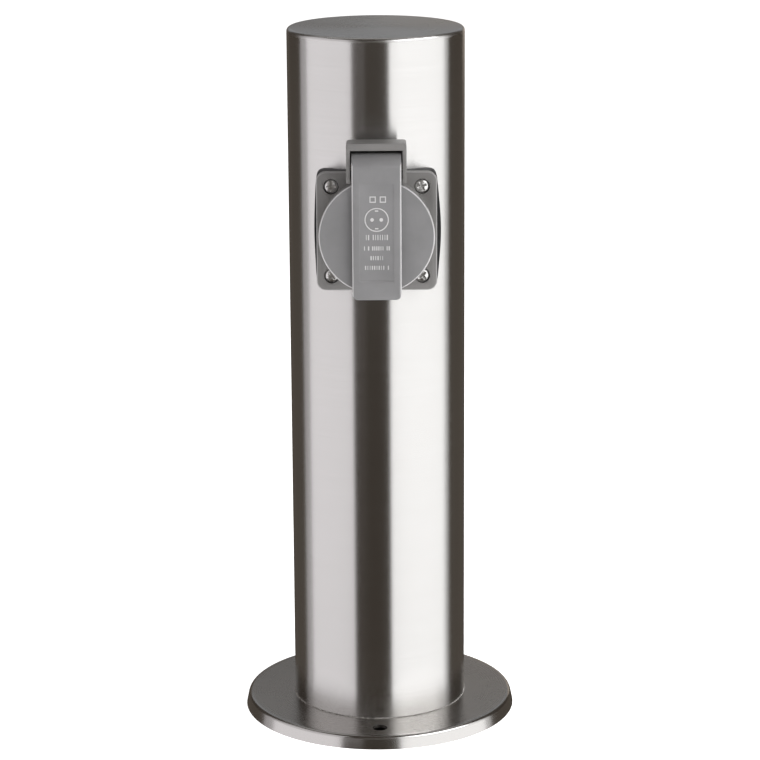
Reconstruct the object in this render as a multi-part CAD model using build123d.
from build123d import *
import math
import os

# Short stainless steel power post with one lidded socket outlet, for plugging in a charging lead.
# Millimetres. The origin is on the ground, on the axis of the tube. +Z is up, and the outlet
# faces -Y. Each function below makes one sub-part, and NODES at the end lists them all.

# ---- clearances ----
FIT_GAP = 0.05            # radial gap of a held or running fit
SWING_GAP = 0.3           # between the swinging lid and the fixed pieces around it
WIRE_GAP = 0.3            # between a lead's insulation and the terminal it enters

# ---- post ----
POST_HEIGHT = 305.0       # ground to the top of the cap
TUBE_OD = 76.0
TUBE_WALL = 1.5
CAP_THICKNESS = 2.0
CAP_EDGE = 1.2            # rounding round the top of the cap
CAP_SKIRT_DEPTH = 8.0
CAP_SKIRT_WALL = 1.5

# ---- base dish ----
BASE_DIAMETER = 120.0
BASE_HEIGHT = 5.8
BASE_SHEET = 1.2
BASE_FLARE = 1.2          # how much further out the rim stands at the ground than at the top
BASE_EDGE = 2.0           # rounding between the top and the rim
ANCHOR_HOLE = 6.5         # two, front and back, half way out on the ledge round the tube

# ---- cable entry ----
GROMMET_NECK = 20.0
GROMMET_LIP = 25.0
GROMMET_LIP_THICKNESS = 2.0
CABLE_ENTRY = 9.0

# ---- outlet ----
SOCKET_DROP = 80.3        # from the top of the post down to the outlet's axis
FLANGE_MARGIN = 1.65      # how far the square flange stands out past the round collar
FLANGE_CORNER = 4.0
FLANGE_THICKNESS = 3.0
FLANGE_EDGE = 0.6
SCREW_INSET = 6.25        # from the flange's sides to its screws
GASKET_THICKNESS = 1.0    # at its thinnest, over the crest of the tube
GASKET_CORNER = 2.5
GASKET_BULGE = 1.3        # how far its sides swell at half height
COLLAR_HEIGHT = 9.2
COLLAR_WALL = 3.85
WELL_RADIUS = 19.75
WELL_DEPTH = 17.5
CUP_WALL = 2.05
CUP_HOLE_GAP = 0.7        # radial gap round the cup in the tube's hole
FLOOR_THICKNESS = 2.2
GUIDE_RIB_WIDTH = 5.0
GUIDE_RIB_DEPTH = 1.6
GUIDE_RIB_SETBACK = 1.5
PIN_SPACING = 19.0
PIN_DIAMETER = 4.8
PIN_HOLE_GAP = 0.3

# ---- flange screws ----
SCREW_RADIUS = 1.9
SCREW_HEAD_RADIUS = 2.95
SCREW_HEAD_HEIGHT = 1.6
SCREW_RECESS_RADIUS = 3.25
SCREW_REACH = 14.0        # length under the head
CROSS_SPAN = 3.6
CROSS_SLOT = 0.7
CROSS_DEPTH = 1.0

# ---- lid ----
LID_OVERHANG = 0.6        # how far the lid's edge stands out past the collar
LID_THICKNESS = 2.5
LID_EDGE = 0.9
STRAP_WIDTH = 20.5
STRAP_THICKNESS = 4.0
STRAP_TIP = 1.8           # how far the strap's finger tip stands out below the lid
STRAP_CORNER = 3.0
PANEL_SIDE = 3.15         # from the strap's sides to its sunk panel
PANEL_DROP = 18.0
PANEL_RISE = 23.0
PANEL_DEPTH = 0.35
SEAL_INSET = 0.6          # from the collar's outside to the seal
SEAL_WIDTH = 2.4
SEAL_THICKNESS = 1.3

# ---- hinge ----
PIN_RADIUS = 1.5
HOOD_RADIUS = 6.0         # round the front and top of the knuckle, flush with the strap
KNUCKLE_RADIUS = 5.2      # round its back and underside
FRAME_SIDE_GAP = 0.6
FRAME_LEG = 1.6
FRAME_REACH = 3.0         # how far the frame stands in front of the pin
FRAME_TOP_GAP = 1.3
FRAME_BAR = 2.9
FRAME_BACK_WALL = 1.2
FRAME_FOOT_GAP = 1.15     # between the lid's edge and the foot of the legs
FRAME_CORNER = 1.2
SPRING_WIRE = 0.8
SPRING_TURNS = 6
SPRING_PITCH = 0.95
SPRING_POCKET_HALF = 4.4

# ---- contacts behind the outlet's floor ----
CARRIER_SETBACK = 2.25    # how much smaller the carrier is than the well
CARRIER_DEPTH = 14.5
CARRIER_BOSS_OFFSET = 10.5
CARRIER_BOSS_RADIUS = 3.0
CARRIER_BOSS_LENGTH = 7.5
CARRIER_SCREW_RADIUS = 1.2
CARRIER_SCREW_HEAD = 2.4
CARRIER_SCREW_HEAD_HEIGHT = 1.8
SLEEVE_WALL = 0.95
SLEEVE_SLIT = 0.8
SLEEVE_SLIT_LENGTH = 11.0
TERMINAL_SIDE = 8.0
TERMINAL_LENGTH = 10.0
EARTH_STRIP_WIDTH = 5.6
EARTH_STRIP_SHEET = 0.8
EARTH_STRIP_SETBACK = 0.35   # between the strip and the wall of the well
EARTH_STRIP_REACH = 12.3     # how far its arms stand out of the floor into the well
EARTH_DIMPLE = 0.7
EARTH_TERMINAL_DROP = 11.0
TERMINAL_SCREW_RADIUS = 1.4
TERMINAL_SCREW_HEAD = 2.6
TERMINAL_SCREW_HEAD_HEIGHT = 1.6

# ---- leads ----
LEAD_RADIUS = 1.4
CONDUCTOR_RADIUS = 1.0
WIRE_HOLE_RADIUS = 1.2
BARE_END = 6.0            # length of bare conductor inside a terminal

# ---- terminal block in the foot ----
BLOCK_WIDTH = 30.0
BLOCK_DEPTH = 15.0
BLOCK_HEIGHT = 20.0
BLOCK_BASE_Z = 50.0
POLE_PITCH = 10.0
POLE_SETBACK = 6.0        # from the front of the block to the axis of its poles
POLE_SLEEVE_RADIUS = 2.6
POLE_SLEEVE_LENGTH = 16.0
POLE_SCREW_SPREAD = 9.0
POLE_SCREW_RADIUS = 1.2
POLE_SCREW_HEAD = 1.7
POLE_SCREW_HEAD_HEIGHT = 1.3
BLOCK_SCREW_RADIUS = 1.4
BLOCK_SCREW_HEAD = 2.1
BLOCK_SCREW_HEAD_HEIGHT = 1.6
BRACKET_SHEET = 1.5
BRACKET_WIDTH = 32.0
BRACKET_FRONT = 13.5      # Y of the face that the block is screwed to
BRACKET_FOOT = 16.0
BRACKET_OVERRUN = 8.0     # how far the bracket stands above the block
RIVET_RADIUS = 1.6
RIVET_HEAD = 3.0
RIVET_HEAD_HEIGHT = 1.0
RIVET_SPACING = 18.0

# ---- earth bonding stud ----
STUD_X = 24.0
STUD_Y = -6.0
STUD_RADIUS = 2.0
STUD_LENGTH = 12.0
STUD_COLLAR_RADIUS = 3.0
STUD_COLLAR_HEIGHT = 0.8
LUG_SHEET = 0.8
LUG_RING_RADIUS = 4.0
LUG_REACH = 7.5           # from the stud to the axis of the lug's upright barrel
LUG_BARREL_RADIUS = 1.9
LUG_BARREL_HEIGHT = 8.0
WASHER_RADIUS = 4.4
WASHER_THICKNESS = 0.8
NUT_ACROSS_FLATS = 7.0
NUT_HEIGHT = 3.2

# ---- places worked out from the sizes above ----
TUBE_RADIUS = TUBE_OD / 2
TUBE_INNER = TUBE_RADIUS - TUBE_WALL
TUBE_TOP = POST_HEIGHT - CAP_THICKNESS
ANCHOR_RADIUS = (TUBE_RADIUS + BASE_DIAMETER / 2) / 2
SOCKET_Z = POST_HEIGHT - SOCKET_DROP
FLANGE_BACK = -(TUBE_RADIUS + GASKET_THICKNESS)
FLANGE_FRONT = FLANGE_BACK - FLANGE_THICKNESS
COLLAR_FRONT = FLANGE_FRONT - COLLAR_HEIGHT
COLLAR_RADIUS = WELL_RADIUS + COLLAR_WALL
LID_RADIUS = COLLAR_RADIUS + LID_OVERHANG
FLANGE_SIDE = 2 * (COLLAR_RADIUS + FLANGE_MARGIN)
SCREW_OFFSET = FLANGE_SIDE / 2 - SCREW_INSET
CUP_RADIUS = WELL_RADIUS + CUP_WALL
FLOOR_FRONT = COLLAR_FRONT + WELL_DEPTH
FLOOR_BACK = FLOOR_FRONT + FLOOR_THICKNESS
LID_BACK = COLLAR_FRONT - SWING_GAP
LID_FRONT = LID_BACK - LID_THICKNESS
STRAP_FRONT = LID_FRONT - STRAP_THICKNESS
HINGE_Y = STRAP_FRONT + HOOD_RADIUS
HINGE_Z = SOCKET_Z + COLLAR_RADIUS + KNUCKLE_RADIUS + SWING_GAP
SEAL_OUTER = COLLAR_RADIUS - SEAL_INSET
SEAL_INNER = SEAL_OUTER - SEAL_WIDTH
FRAME_INNER = STRAP_WIDTH / 2 + FRAME_SIDE_GAP
FRAME_OUTER = FRAME_INNER + FRAME_LEG
FRAME_FRONT = HINGE_Y - FRAME_REACH
FRAME_BACK = HINGE_Y + HOOD_RADIUS + SWING_GAP + FRAME_BACK_WALL
FRAME_TOP = HINGE_Z + HOOD_RADIUS + FRAME_TOP_GAP + FRAME_BAR
FRAME_FOOT = SOCKET_Z + math.sqrt(LID_RADIUS**2 - FRAME_INNER**2) + FRAME_FOOT_GAP
SCREW_SEAT = FLANGE_FRONT + SCREW_HEAD_HEIGHT
CARRIER_RADIUS = WELL_RADIUS - CARRIER_SETBACK
CARRIER_BACK = FLOOR_BACK + CARRIER_DEPTH
SLEEVE_BORE = PIN_DIAMETER / 2 + FIT_GAP
SLEEVE_RADIUS = SLEEVE_BORE + SLEEVE_WALL
TERMINAL_BACK = CARRIER_BACK + TERMINAL_LENGTH
WIRE_HOLE_DEPTH = BARE_END + WIRE_GAP
EARTH_STRIP_OUT = WELL_RADIUS - EARTH_STRIP_SETBACK
EARTH_TERMINAL_Z = SOCKET_Z - EARTH_TERMINAL_DROP
POLE_Y = BRACKET_FRONT - BLOCK_DEPTH + POLE_SETBACK
BLOCK_TOP_Z = BLOCK_BASE_Z + BLOCK_HEIGHT
BLOCK_MID_Z = (BLOCK_BASE_Z + BLOCK_TOP_Z) / 2
LUG_BARREL_X = STUD_X - LUG_REACH
LUG_Z = BASE_HEIGHT + STUD_COLLAR_HEIGHT

SCREW_PLACES = [(x * SCREW_OFFSET, z * SCREW_OFFSET) for x in (-1, 1) for z in (-1, 1)]
CARRIER_BOSS_PLACES = [(side * CARRIER_BOSS_OFFSET, -side * CARRIER_BOSS_OFFSET) for side in (-1, 1)]
POLE_PLACES = [-POLE_PITCH, 0.0, POLE_PITCH]
RIVET_PLACES = [-RIVET_SPACING / 2, RIVET_SPACING / 2]
RIVET_Y = BRACKET_FRONT + BRACKET_SHEET + (BRACKET_FOOT - BRACKET_SHEET) / 2
TERMINAL_PLACES = [(-PIN_SPACING / 2, SOCKET_Z), (PIN_SPACING / 2, SOCKET_Z), (0.0, EARTH_TERMINAL_Z)]


# ---- helpers ----
def block(x_span, y_span, z_span):
    """Box between three pairs of planes."""
    spans = (x_span, y_span, z_span)
    centre = [(low + high) / 2 for low, high in spans]
    size = [high - low for low, high in spans]
    return Pos(*centre) * Box(*size)


def rod_x(radius, low, high, y, z):
    """Cylinder along X."""
    return Pos((low + high) / 2, y, z) * Rot(0, 90, 0) * Cylinder(radius, high - low)


def rod_y(radius, front, back, x=0.0, z=SOCKET_Z):
    """Cylinder along Y, on the outlet's axis unless told otherwise."""
    return Pos(x, (front + back) / 2, z) * Rot(90, 0, 0) * Cylinder(radius, back - front)


def rod_z(radius, low, high, x=0.0, y=0.0):
    """Cylinder along Z, on the post's axis unless told otherwise."""
    return Pos(x, y, (low + high) / 2) * Cylinder(radius, high - low)


def plate(outline, front, back):
    """Outline drawn round the outlet's axis, seen from the front, made solid between two Y planes."""
    plane = Plane(origin=(0, back, SOCKET_Z), x_dir=(1, 0, 0), z_dir=(0, -1, 0))
    return extrude(plane * outline, back - front)


def side_profile(points, low, high):
    """Closed outline of (Y, Z) points, made solid between two X planes."""
    plane = Plane(origin=(low, 0, 0), x_dir=(0, 1, 0), z_dir=(1, 0, 0))
    return extrude(plane * make_face(Polyline(*points, close=True)), high - low)


def group(solids):
    """Identical pieces kept as separate solids of one node."""
    return Compound(children=list(solids))


def lead(points, tail_in, tail_out):
    """Insulated wire along a route, with a bare end in the terminal at each end of it."""
    starts = [Vector(*p) for p in points]
    runs = [b - a for a, b in zip(starts, starts[1:])]
    radii = []
    for one, two in zip(runs, runs[1:]):
        turn = math.radians(one.get_angle(two))
        radii.append(0.45 * min(one.length, two.length) / math.tan(turn / 2))
    path = FilletPolyline(*points, radius=radii)
    sheath = sweep(Plane(origin=path @ 0, z_dir=path % 0) * Circle(LEAD_RADIUS), path=path)
    bare_in = Plane(origin=path @ 0, z_dir=-(path % 0)) * Circle(CONDUCTOR_RADIUS)
    bare_out = Plane(origin=path @ 1, z_dir=path % 1) * Circle(CONDUCTOR_RADIUS)
    print("lead radii", [round(r, 1) for r in radii], "length", round(path.length, 1))
    return sheath + extrude(bare_in, tail_in) + extrude(bare_out, tail_out)


# ---- post ----
def post_tube():
    """Round tube with a hole for the outlet's cup and four screw holes in its front."""
    tube = rod_z(TUBE_RADIUS, BASE_HEIGHT, TUBE_TOP) - rod_z(TUBE_INNER, BASE_HEIGHT, TUBE_TOP)
    tube -= rod_y(CUP_RADIUS + CUP_HOLE_GAP, -2 * TUBE_RADIUS, 0)
    for x, z in SCREW_PLACES:
        tube -= rod_y(SCREW_RADIUS + FIT_GAP, -2 * TUBE_RADIUS, 0, x, SOCKET_Z + z)
    return tube


def top_cap():
    """Flat cap with a skirt that stands inside the tube."""
    disc = rod_z(TUBE_RADIUS, TUBE_TOP, POST_HEIGHT)
    disc = fillet(disc.edges().group_by(Axis.Z)[-1], CAP_EDGE)
    skirt_radius = TUBE_INNER - FIT_GAP
    skirt = rod_z(skirt_radius, TUBE_TOP - CAP_SKIRT_DEPTH, TUBE_TOP)
    skirt -= rod_z(skirt_radius - CAP_SKIRT_WALL, TUBE_TOP - CAP_SKIRT_DEPTH, TUBE_TOP)
    return disc + skirt


def dish(radius, height, edge):
    """Round pressing with a flared rim and a rounded top edge."""
    shape = Cone(radius, radius - BASE_FLARE, height, align=(Align.CENTER, Align.CENTER, Align.MIN))
    return fillet(shape.edges().group_by(Axis.Z)[-1], edge)


def base_plate():
    """Hollow sheet dish that the tube stands on, with anchor, cable and rivet holes."""
    inside = dish(BASE_DIAMETER / 2 - BASE_SHEET, BASE_HEIGHT - BASE_SHEET, BASE_EDGE - BASE_SHEET)
    shape = dish(BASE_DIAMETER / 2, BASE_HEIGHT, BASE_EDGE) - inside
    shape -= rod_z(GROMMET_NECK / 2, 0, BASE_HEIGHT)
    for side in (-1, 1):
        shape -= rod_z(ANCHOR_HOLE / 2, 0, BASE_HEIGHT, 0, side * ANCHOR_RADIUS)
    for x in RIVET_PLACES:
        shape -= rod_z(RIVET_RADIUS + FIT_GAP, 0, BASE_HEIGHT, x, RIVET_Y)
    return shape


def cable_grommet():
    """Rubber ring in the middle of the base, for a supply cable laid underground."""
    below = BASE_HEIGHT - BASE_SHEET - FIT_GAP
    above = BASE_HEIGHT + FIT_GAP
    low = below - GROMMET_LIP_THICKNESS
    high = above + GROMMET_LIP_THICKNESS
    ring = rod_z(GROMMET_NECK / 2 - FIT_GAP, low, high)
    ring += rod_z(GROMMET_LIP / 2, low, below) + rod_z(GROMMET_LIP / 2, above, high)
    return ring - rod_z(CABLE_ENTRY / 2, low, high)


# ---- outlet ----
def socket_gasket():
    """Rubber saddle that fills the room between the flat flange and the round tube."""
    half = FLANGE_SIDE / 2
    rim = make_face(
        Line((-half, -half), (half, -half))
        + ThreePointArc((half, -half), (half + GASKET_BULGE, 0), (half, half))
        + Line((half, half), (-half, half))
        + ThreePointArc((-half, half), (-half - GASKET_BULGE, 0), (-half, -half))
    )
    rim = fillet(rim.vertices(), GASKET_CORNER)
    saddle = plate(rim, FLANGE_BACK, 0)
    saddle -= rod_z(TUBE_RADIUS + FIT_GAP, 0, POST_HEIGHT)
    saddle -= rod_y(CUP_RADIUS + FIT_GAP, 2 * FLANGE_BACK, 0)
    for x, z in SCREW_PLACES:
        saddle -= rod_y(SCREW_RADIUS + FIT_GAP, 2 * FLANGE_BACK, 0, x, SOCKET_Z + z)
    return saddle


def hinge_frame():
    """Upside-down U over the top of the lid, closed behind, that carries the pin."""
    outline = [
        (FRAME_FRONT, FRAME_FOOT),
        (FRAME_FRONT, FRAME_TOP),
        (FRAME_BACK, FRAME_TOP),
        (FRAME_BACK, HINGE_Z),
        (FLANGE_FRONT, SOCKET_Z + FLANGE_SIDE / 2 - FLANGE_EDGE),
        (FLANGE_FRONT, FRAME_FOOT),
    ]
    frame = side_profile(outline, -FRAME_OUTER, FRAME_OUTER)
    crown = frame.edges().filter_by(Axis.Y).group_by(Axis.Z)[-1]
    frame = fillet(crown, FRAME_CORNER)
    slot_back = FRAME_BACK - FRAME_BACK_WALL
    slot_top = FRAME_TOP - FRAME_BAR
    frame -= block((-FRAME_INNER, FRAME_INNER), (2 * FRAME_FRONT, slot_back), (0, slot_top))
    return frame - rod_x(PIN_RADIUS + FIT_GAP / 2, -FRAME_OUTER, FRAME_OUTER, HINGE_Y, HINGE_Z)


def plug_well():
    """Hollow that the plug enters, with the guide ribs left standing at its sides."""
    well = rod_y(WELL_RADIUS, COLLAR_FRONT, FLOOR_FRONT)
    for side in (-1, 1):
        wall = side * WELL_RADIUS
        inner = side * (WELL_RADIUS - GUIDE_RIB_DEPTH)
        half = GUIDE_RIB_WIDTH / 2
        y_span = (COLLAR_FRONT + GUIDE_RIB_SETBACK, FLOOR_FRONT)
        well -= block(sorted((wall, inner)), y_span, (SOCKET_Z - half, SOCKET_Z + half))
    return well


def socket_housing():
    """Moulded flange with the collar, the plug's cup, the floor behind it and the hinge frame."""
    flange = plate(RectangleRounded(FLANGE_SIDE, FLANGE_SIDE, FLANGE_CORNER), FLANGE_FRONT, FLANGE_BACK)
    flange = fillet(flange.faces().sort_by(Axis.Y)[0].edges(), FLANGE_EDGE)
    shape = flange + rod_y(COLLAR_RADIUS, COLLAR_FRONT, FLANGE_FRONT)
    shape += rod_y(CUP_RADIUS, FLANGE_BACK, FLOOR_BACK)
    shape += hinge_frame()
    shape -= plug_well()
    for x, z in SCREW_PLACES:
        shape -= rod_y(SCREW_RECESS_RADIUS, FLANGE_FRONT, SCREW_SEAT, x, SOCKET_Z + z)
        shape -= rod_y(SCREW_RADIUS + FIT_GAP, FLANGE_FRONT, FLANGE_BACK, x, SOCKET_Z + z)
    for side in (-1, 1):
        hole = PIN_DIAMETER / 2 + PIN_HOLE_GAP
        shape -= rod_y(hole, FLOOR_FRONT, FLOOR_BACK, side * PIN_SPACING / 2)
        slot_in = SOCKET_Z + side * (EARTH_STRIP_OUT - EARTH_STRIP_SHEET - FIT_GAP)
        slot_out = SOCKET_Z + side * (EARTH_STRIP_OUT + FIT_GAP)
        half = EARTH_STRIP_WIDTH / 2 + FIT_GAP
        shape -= block((-half, half), (FLOOR_FRONT, FLOOR_BACK), sorted((slot_in, slot_out)))
    for x, z in CARRIER_BOSS_PLACES:
        boss_back = FLOOR_BACK + CARRIER_BOSS_LENGTH
        shape += rod_y(CARRIER_BOSS_RADIUS, FLOOR_BACK, boss_back, x, SOCKET_Z + z)
        shape -= rod_y(CARRIER_SCREW_RADIUS + FIT_GAP, FLOOR_BACK, boss_back, x, SOCKET_Z + z)
    return shape


def flange_screws():
    """Four cross-head screws that pull the flange and its gasket onto the tube."""
    screws = []
    for x, z in SCREW_PLACES:
        at = SOCKET_Z + z
        head = rod_y(SCREW_HEAD_RADIUS, FLANGE_FRONT, SCREW_SEAT, x, at)
        head = fillet(head.edges().group_by(Axis.Y)[0], SCREW_HEAD_HEIGHT / 3)
        cross_depth = (FLANGE_FRONT, FLANGE_FRONT + CROSS_DEPTH)
        long = CROSS_SPAN / 2
        thin = CROSS_SLOT / 2
        head -= block((x - long, x + long), cross_depth, (at - thin, at + thin))
        head -= block((x - thin, x + thin), cross_depth, (at - long, at + long))
        screws.append(head + rod_y(SCREW_RADIUS, SCREW_SEAT, SCREW_SEAT + SCREW_REACH, x, at))
    return group(screws)


# ---- contacts ----
def contact_carrier():
    """Insulating block screwed behind the floor, with tunnels for the two pin contacts."""
    shape = rod_y(CARRIER_RADIUS, FLOOR_BACK, CARRIER_BACK)
    for side in (-1, 1):
        shape -= rod_y(SLEEVE_RADIUS + FIT_GAP, FLOOR_BACK, CARRIER_BACK, side * PIN_SPACING / 2)
    for x, z in CARRIER_BOSS_PLACES:
        at = SOCKET_Z + z
        boss_back = FLOOR_BACK + CARRIER_BOSS_LENGTH + FIT_GAP
        shape -= rod_y(CARRIER_BOSS_RADIUS + FIT_GAP, FLOOR_BACK, boss_back, x, at)
        shape -= rod_y(CARRIER_SCREW_RADIUS + FIT_GAP, FLOOR_BACK, CARRIER_BACK, x, at)
        seat = CARRIER_BACK - CARRIER_SCREW_HEAD_HEIGHT
        shape -= rod_y(CARRIER_SCREW_HEAD + FIT_GAP, seat, CARRIER_BACK, x, at)
    return shape


def carrier_screws():
    """Two screws from behind that hold the carrier to the housing's bosses."""
    screws = []
    for x, z in CARRIER_BOSS_PLACES:
        seat = CARRIER_BACK - CARRIER_SCREW_HEAD_HEIGHT
        head = rod_y(CARRIER_SCREW_HEAD, seat, CARRIER_BACK, x, SOCKET_Z + z)
        screws.append(head + rod_y(CARRIER_SCREW_RADIUS, FLOOR_BACK, seat, x, SOCKET_Z + z))
    return group(screws)


def terminal(x, z, front):
    """Square clamp block with a hole for the wire behind and for its screw on top."""
    half = TERMINAL_SIDE / 2
    shape = block((x - half, x + half), (front, TERMINAL_BACK), (z - half, z + half))
    shape -= rod_y(WIRE_HOLE_RADIUS, TERMINAL_BACK - WIRE_HOLE_DEPTH, TERMINAL_BACK, x, z)
    screw_y = TERMINAL_BACK - BARE_END / 2
    return shape - rod_z(TERMINAL_SCREW_RADIUS + FIT_GAP, z, z + half, x, screw_y)


def pin_contact(side):
    """Slit brass sleeve for one plug pin, with its terminal behind the carrier."""
    x = side * PIN_SPACING / 2
    front = FLOOR_BACK + FIT_GAP
    shape = rod_y(SLEEVE_RADIUS, front, CARRIER_BACK, x) + terminal(x, SOCKET_Z, CARRIER_BACK)
    bore_end = TERMINAL_BACK - WIRE_HOLE_DEPTH - SLEEVE_WALL
    shape -= rod_y(SLEEVE_BORE, front, bore_end, x)
    slit = (SOCKET_Z - SLEEVE_SLIT / 2, SOCKET_Z + SLEEVE_SLIT / 2)
    return shape - block((x - SLEEVE_RADIUS, x + SLEEVE_RADIUS), (front, front + SLEEVE_SLIT_LENGTH), slit)


def earth_contact():
    """Sprung strip bent to a U, whose arms run up the top and bottom of the well."""
    half = EARTH_STRIP_WIDTH / 2
    back = CARRIER_BACK + EARTH_STRIP_SHEET
    tip = FLOOR_FRONT - EARTH_STRIP_REACH
    low = SOCKET_Z - EARTH_STRIP_OUT
    high = SOCKET_Z + EARTH_STRIP_OUT
    shape = block((-half, half), (CARRIER_BACK, back), (low, high))
    shape += block((-half, half), (tip, back), (low, low + EARTH_STRIP_SHEET))
    shape += block((-half, half), (tip, back), (high - EARTH_STRIP_SHEET, high))
    for side in (-1, 1):
        face = SOCKET_Z + side * (EARTH_STRIP_OUT - EARTH_STRIP_SHEET)
        nose = rod_x(2 * EARTH_DIMPLE, -half, half, tip + 3 * EARTH_DIMPLE, face + side * EARTH_DIMPLE)
        shape += nose & block((-half, half), (tip, back), (low, high))
    return shape + terminal(0.0, EARTH_TERMINAL_Z, back)


def socket_terminal_screws():
    """Clamp screws of the live, neutral and earth terminals."""
    screws = []
    for x, z in TERMINAL_PLACES:
        y = TERMINAL_BACK - BARE_END / 2
        top = z + TERMINAL_SIDE / 2
        tip = z + CONDUCTOR_RADIUS + FIT_GAP
        shank = rod_z(TERMINAL_SCREW_RADIUS, tip, top, x, y)
        screws.append(shank + rod_z(TERMINAL_SCREW_HEAD, top, top + TERMINAL_SCREW_HEAD_HEIGHT, x, y))
    return group(screws)


# ---- lid and hinge ----
def lid():
    """Round lid with a strap down its middle that is its finger grip and its hinge knuckle."""
    half = STRAP_WIDTH / 2
    disc = rod_y(LID_RADIUS, LID_FRONT, LID_BACK)
    disc = fillet(disc.edges().group_by(Axis.Y)[0], LID_EDGE)
    strap = block((-half, half), (STRAP_FRONT, LID_FRONT), (SOCKET_Z - LID_RADIUS - STRAP_TIP, HINGE_Z))
    strap = fillet(strap.edges().filter_by(Axis.Y).group_by(Axis.Z)[0], STRAP_CORNER)
    hood = rod_x(HOOD_RADIUS, -half, half, HINGE_Y, HINGE_Z)
    hood &= block((-half, half), (STRAP_FRONT, HINGE_Y), (HINGE_Z, HINGE_Z + HOOD_RADIUS))
    knuckle = rod_x(KNUCKLE_RADIUS, -half, half, HINGE_Y, HINGE_Z)
    shape = disc + strap + hood + knuckle
    shape -= block(
        (PANEL_SIDE - half, half - PANEL_SIDE),
        (STRAP_FRONT, STRAP_FRONT + PANEL_DEPTH),
        (SOCKET_Z - PANEL_DROP, SOCKET_Z + PANEL_RISE),
    )
    groove = rod_y(SEAL_OUTER, LID_BACK - SEAL_THICKNESS, LID_BACK)
    shape -= groove - rod_y(SEAL_INNER, LID_BACK - SEAL_THICKNESS, LID_BACK)
    shape -= rod_x(PIN_RADIUS + FIT_GAP, -half, half, HINGE_Y, HINGE_Z)
    return shape - spring_pocket()


def spring_pocket():
    """Room round the middle of the pin for the spring, open to the back."""
    half = SPRING_POCKET_HALF
    radius = PIN_RADIUS + 2 * SPRING_WIRE + 2 * FIT_GAP
    pocket = rod_x(radius, -half, half, HINGE_Y, HINGE_Z)
    rear = (HINGE_Y, HINGE_Y + HOOD_RADIUS)
    return pocket + block((-half, half), rear, (SOCKET_Z + LID_RADIUS, HINGE_Z + HOOD_RADIUS))


def lid_seal():
    """Flat rubber ring in the lid's groove, which closes on the front of the collar."""
    front = LID_BACK - SEAL_THICKNESS
    ring = rod_y(SEAL_OUTER - FIT_GAP, front, LID_BACK)
    return ring - rod_y(SEAL_INNER + FIT_GAP, front, LID_BACK)


def hinge_pin():
    """Steel pin pressed into both legs of the frame."""
    return rod_x(PIN_RADIUS, -FRAME_OUTER, FRAME_OUTER, HINGE_Y, HINGE_Z)


def hinge_spring():
    """Torsion spring round the pin that holds the lid shut."""
    coil_radius = PIN_RADIUS + FIT_GAP + SPRING_WIRE / 2
    length = SPRING_TURNS * SPRING_PITCH
    start = -length / 2
    place = Plane(origin=(start, HINGE_Y, HINGE_Z), x_dir=(0, 0, -1), z_dir=(1, 0, 0))
    coil = place.location * Helix(SPRING_PITCH, length, coil_radius)
    wire = Plane(origin=coil @ 0, z_dir=coil % 0) * Circle(SPRING_WIRE / 2)
    spring = sweep(wire, path=coil, is_frenet=True)
    arm = Plane(origin=coil @ 1, z_dir=coil % 1) * Circle(SPRING_WIRE / 2)
    return spring + extrude(arm, FRAME_BACK - FRAME_BACK_WALL - FIT_GAP - HINGE_Y)


# ---- wiring in the post ----
def terminal_bracket():
    """Bent sheet bracket riveted to the base, with tapped holes for the terminal block."""
    half = BRACKET_WIDTH / 2
    top = BLOCK_TOP_Z + BRACKET_OVERRUN
    back = BRACKET_FRONT + BRACKET_SHEET
    shape = block((-half, half), (BRACKET_FRONT, back), (BASE_HEIGHT, top))
    foot_top = BASE_HEIGHT + BRACKET_SHEET
    shape += block((-half, half), (BRACKET_FRONT, BRACKET_FRONT + BRACKET_FOOT), (BASE_HEIGHT, foot_top))
    for x in RIVET_PLACES:
        shape -= rod_z(RIVET_RADIUS + FIT_GAP, BASE_HEIGHT, foot_top, x, RIVET_Y)
    for x in (-POLE_PITCH / 2, POLE_PITCH / 2):
        shape -= rod_y(BLOCK_SCREW_RADIUS + FIT_GAP, BRACKET_FRONT, back, x, BLOCK_MID_Z)
    return shape


def bracket_rivets():
    """Two blind rivets through the bracket's foot and the base."""
    top = BASE_HEIGHT + BRACKET_SHEET
    below = BASE_HEIGHT - BASE_SHEET
    rivets = []
    for x in RIVET_PLACES:
        shape = rod_z(RIVET_RADIUS, below, top, x, RIVET_Y)
        shape += rod_z(RIVET_HEAD, top, top + RIVET_HEAD_HEIGHT, x, RIVET_Y)
        rivets.append(shape + rod_z(RIVET_HEAD, below - RIVET_HEAD_HEIGHT, below, x, RIVET_Y))
    return group(rivets)


def terminal_block():
    """Three-pole insulating block with wire tunnels and screw holes."""
    half = BLOCK_WIDTH / 2
    front = BRACKET_FRONT - BLOCK_DEPTH
    shape = block((-half, half), (front, BRACKET_FRONT), (BLOCK_BASE_Z, BLOCK_TOP_Z))
    for x in POLE_PLACES:
        shape -= rod_z(POLE_SLEEVE_RADIUS + FIT_GAP, BLOCK_BASE_Z, BLOCK_TOP_Z, x, POLE_Y)
        for z in (-1, 1):
            at = BLOCK_MID_Z + z * POLE_SCREW_SPREAD / 2
            shape -= rod_y(POLE_SCREW_HEAD + FIT_GAP, front, POLE_Y, x, at)
    for x in (-POLE_PITCH / 2, POLE_PITCH / 2):
        shape -= rod_y(BLOCK_SCREW_RADIUS + FIT_GAP, front, BRACKET_FRONT, x, BLOCK_MID_Z)
        shape -= rod_y(BLOCK_SCREW_HEAD + FIT_GAP, front, front + BLOCK_SCREW_HEAD_HEIGHT, x, BLOCK_MID_Z)
    return shape


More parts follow.
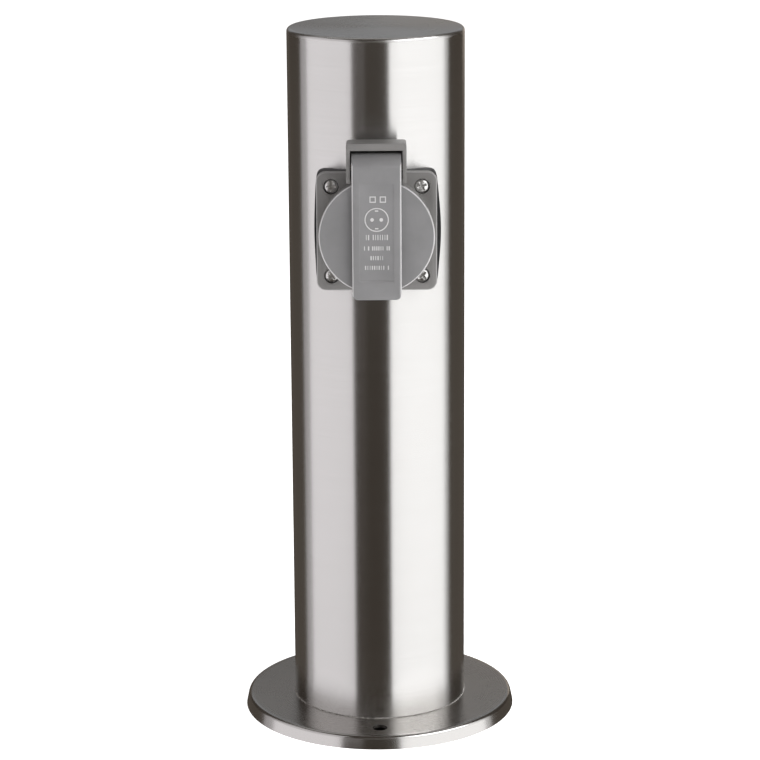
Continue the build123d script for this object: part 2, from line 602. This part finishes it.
def terminal_sleeves():
    """Brass sleeves of the three poles."""
    sleeves = []
    half = POLE_SLEEVE_LENGTH / 2
    for x in POLE_PLACES:
        shape = rod_z(POLE_SLEEVE_RADIUS, BLOCK_MID_Z - half, BLOCK_MID_Z + half, x, POLE_Y)
        shape -= rod_z(WIRE_HOLE_RADIUS, BLOCK_MID_Z - half, BLOCK_MID_Z + half, x, POLE_Y)
        for z in (-1, 1):
            at = BLOCK_MID_Z + z * POLE_SCREW_SPREAD / 2
            shape -= rod_y(POLE_SCREW_RADIUS + FIT_GAP, POLE_Y - POLE_SLEEVE_RADIUS, POLE_Y, x, at)
        sleeves.append(shape)
    return group(sleeves)


def block_clamp_screws():
    """Two clamp screws for each pole."""
    screws = []
    head_back = POLE_Y - POLE_SLEEVE_RADIUS - FIT_GAP
    tip = POLE_Y - CONDUCTOR_RADIUS - FIT_GAP
    for x in POLE_PLACES:
        for z in (-1, 1):
            at = BLOCK_MID_Z + z * POLE_SCREW_SPREAD / 2
            shank = rod_y(POLE_SCREW_RADIUS, head_back, tip, x, at)
            head_front = head_back - POLE_SCREW_HEAD_HEIGHT
            screws.append(shank + rod_y(POLE_SCREW_HEAD, head_front, head_back, x, at))
    return group(screws)


def block_fixing_screws():
    """Two screws that hold the terminal block to its bracket."""
    screws = []
    front = BRACKET_FRONT - BLOCK_DEPTH
    seat = front + BLOCK_SCREW_HEAD_HEIGHT
    for x in (-POLE_PITCH / 2, POLE_PITCH / 2):
        shank = rod_y(BLOCK_SCREW_RADIUS, seat, BRACKET_FRONT + 2 * BRACKET_SHEET, x, BLOCK_MID_Z)
        screws.append(shank + rod_y(BLOCK_SCREW_HEAD, front, seat, x, BLOCK_MID_Z))
    return group(screws)


def pole_lead(x_from, z_from, x_to, sway):
    """Lead from an outlet terminal, down inside the tube, into the top of a block pole."""
    exit_y = TERMINAL_BACK + WIRE_GAP
    entry_z = BLOCK_TOP_Z + WIRE_GAP
    drop = z_from - entry_z
    route = [
        (x_from, exit_y, z_from),
        (x_from, exit_y + 15, z_from),
        (x_from + sway, exit_y + 24, z_from - 17),
        (x_to + 2 * sway, POLE_Y + 15, z_from - 0.3 * drop),
        (x_to + sway, POLE_Y + 8, z_from - 0.55 * drop),
        (x_to + 2 * sway, POLE_Y + 3, entry_z + 0.2 * drop),
        (x_to, POLE_Y, entry_z + 16),
        (x_to, POLE_Y, entry_z),
    ]
    sleeve_top = BLOCK_MID_Z + POLE_SLEEVE_LENGTH / 2
    return lead(route, BARE_END, entry_z - sleeve_top + BARE_END)


def live_lead():
    """Lead of the live pole."""
    return pole_lead(-PIN_SPACING / 2, SOCKET_Z, -POLE_PITCH, -1.0)


def neutral_lead():
    """Lead of the neutral pole."""
    return pole_lead(PIN_SPACING / 2, SOCKET_Z, POLE_PITCH, 1.2)


def earth_lead():
    """Lead of the earth pole."""
    return pole_lead(0.0, EARTH_TERMINAL_Z, 0.0, 0.6)


def bonding_lead():
    """Lead from the earth pole down to the lug on the base, which earths the steel post."""
    start_z = BLOCK_BASE_Z - WIRE_GAP
    lug_top = LUG_Z + LUG_BARREL_HEIGHT + WIRE_GAP
    route = [
        (0.0, POLE_Y, start_z),
        (0.0, POLE_Y, start_z - 11),
        (LUG_BARREL_X, STUD_Y, lug_top + 11),
        (LUG_BARREL_X, STUD_Y, lug_top),
    ]
    sleeve_low = BLOCK_MID_Z - POLE_SLEEVE_LENGTH / 2
    return lead(route, sleeve_low - start_z + BARE_END, BARE_END)


# ---- earth bonding ----
def earth_stud():
    """Stud welded to the top of the base."""
    collar = rod_z(STUD_COLLAR_RADIUS, BASE_HEIGHT, LUG_Z, STUD_X, STUD_Y)
    return collar + rod_z(STUD_RADIUS, LUG_Z, LUG_Z + STUD_LENGTH, STUD_X, STUD_Y)


def ring_lug():
    """Flat ring under the nut, with an upright barrel crimped on the bonding lead."""
    top = LUG_Z + LUG_SHEET
    ring = rod_z(LUG_RING_RADIUS, LUG_Z, top, STUD_X, STUD_Y)
    tongue = (STUD_Y - LUG_BARREL_RADIUS, STUD_Y + LUG_BARREL_RADIUS)
    ring += block((LUG_BARREL_X, STUD_X), tongue, (LUG_Z, top))
    ring += rod_z(LUG_BARREL_RADIUS, LUG_Z, LUG_Z + LUG_BARREL_HEIGHT, LUG_BARREL_X, STUD_Y)
    bore_z = LUG_Z + LUG_BARREL_HEIGHT - BARE_END
    ring -= rod_z(WIRE_HOLE_RADIUS, bore_z, LUG_Z + LUG_BARREL_HEIGHT, LUG_BARREL_X, STUD_Y)
    return ring - rod_z(STUD_RADIUS + FIT_GAP, LUG_Z, top, STUD_X, STUD_Y)


def earth_washer():
    """Washer between the lug and the nut."""
    low = LUG_Z + LUG_SHEET
    shape = rod_z(WASHER_RADIUS, low, low + WASHER_THICKNESS, STUD_X, STUD_Y)
    return shape - rod_z(STUD_RADIUS + FIT_GAP, low, low + WASHER_THICKNESS, STUD_X, STUD_Y)


def earth_nut():
    """Hexagon nut on the stud."""
    low = LUG_Z + LUG_SHEET + WASHER_THICKNESS
    hexagon = RegularPolygon(NUT_ACROSS_FLATS / 2, 6, major_radius=False)
    shape = extrude(Pos(STUD_X, STUD_Y, low) * hexagon, NUT_HEIGHT)
    return shape - rod_z(STUD_RADIUS + FIT_GAP, low, low + NUT_HEIGHT, STUD_X, STUD_Y)


NODES = {
    "post_tube": post_tube,
    "top_cap": top_cap,
    "base_plate": base_plate,
    "cable_grommet": cable_grommet,
    "socket_gasket": socket_gasket,
    "socket_housing": socket_housing,
    "flange_screws": flange_screws,
    "contact_carrier": contact_carrier,
    "carrier_screws": carrier_screws,
    "live_contact": lambda: pin_contact(-1),
    "neutral_contact": lambda: pin_contact(1),
    "earth_contact": earth_contact,
    "socket_terminal_screws": socket_terminal_screws,
    "lid": lid,
    "lid_seal": lid_seal,
    "hinge_pin": hinge_pin,
    "hinge_spring": hinge_spring,
    "live_lead": live_lead,
    "neutral_lead": neutral_lead,
    "earth_lead": earth_lead,
    "bonding_lead": bonding_lead,
    "terminal_bracket": terminal_bracket,
    "bracket_rivets": bracket_rivets,
    "terminal_block": terminal_block,
    "terminal_sleeves": terminal_sleeves,
    "block_clamp_screws": block_clamp_screws,
    "block_fixing_screws": block_fixing_screws,
    "earth_stud": earth_stud,
    "ring_lug": ring_lug,
    "earth_washer": earth_washer,
    "earth_nut": earth_nut,
}

os.makedirs("parts", exist_ok=True)
for name, make in NODES.items():
    export_step(make(), f"parts/{name}.step")
    print("made", name)
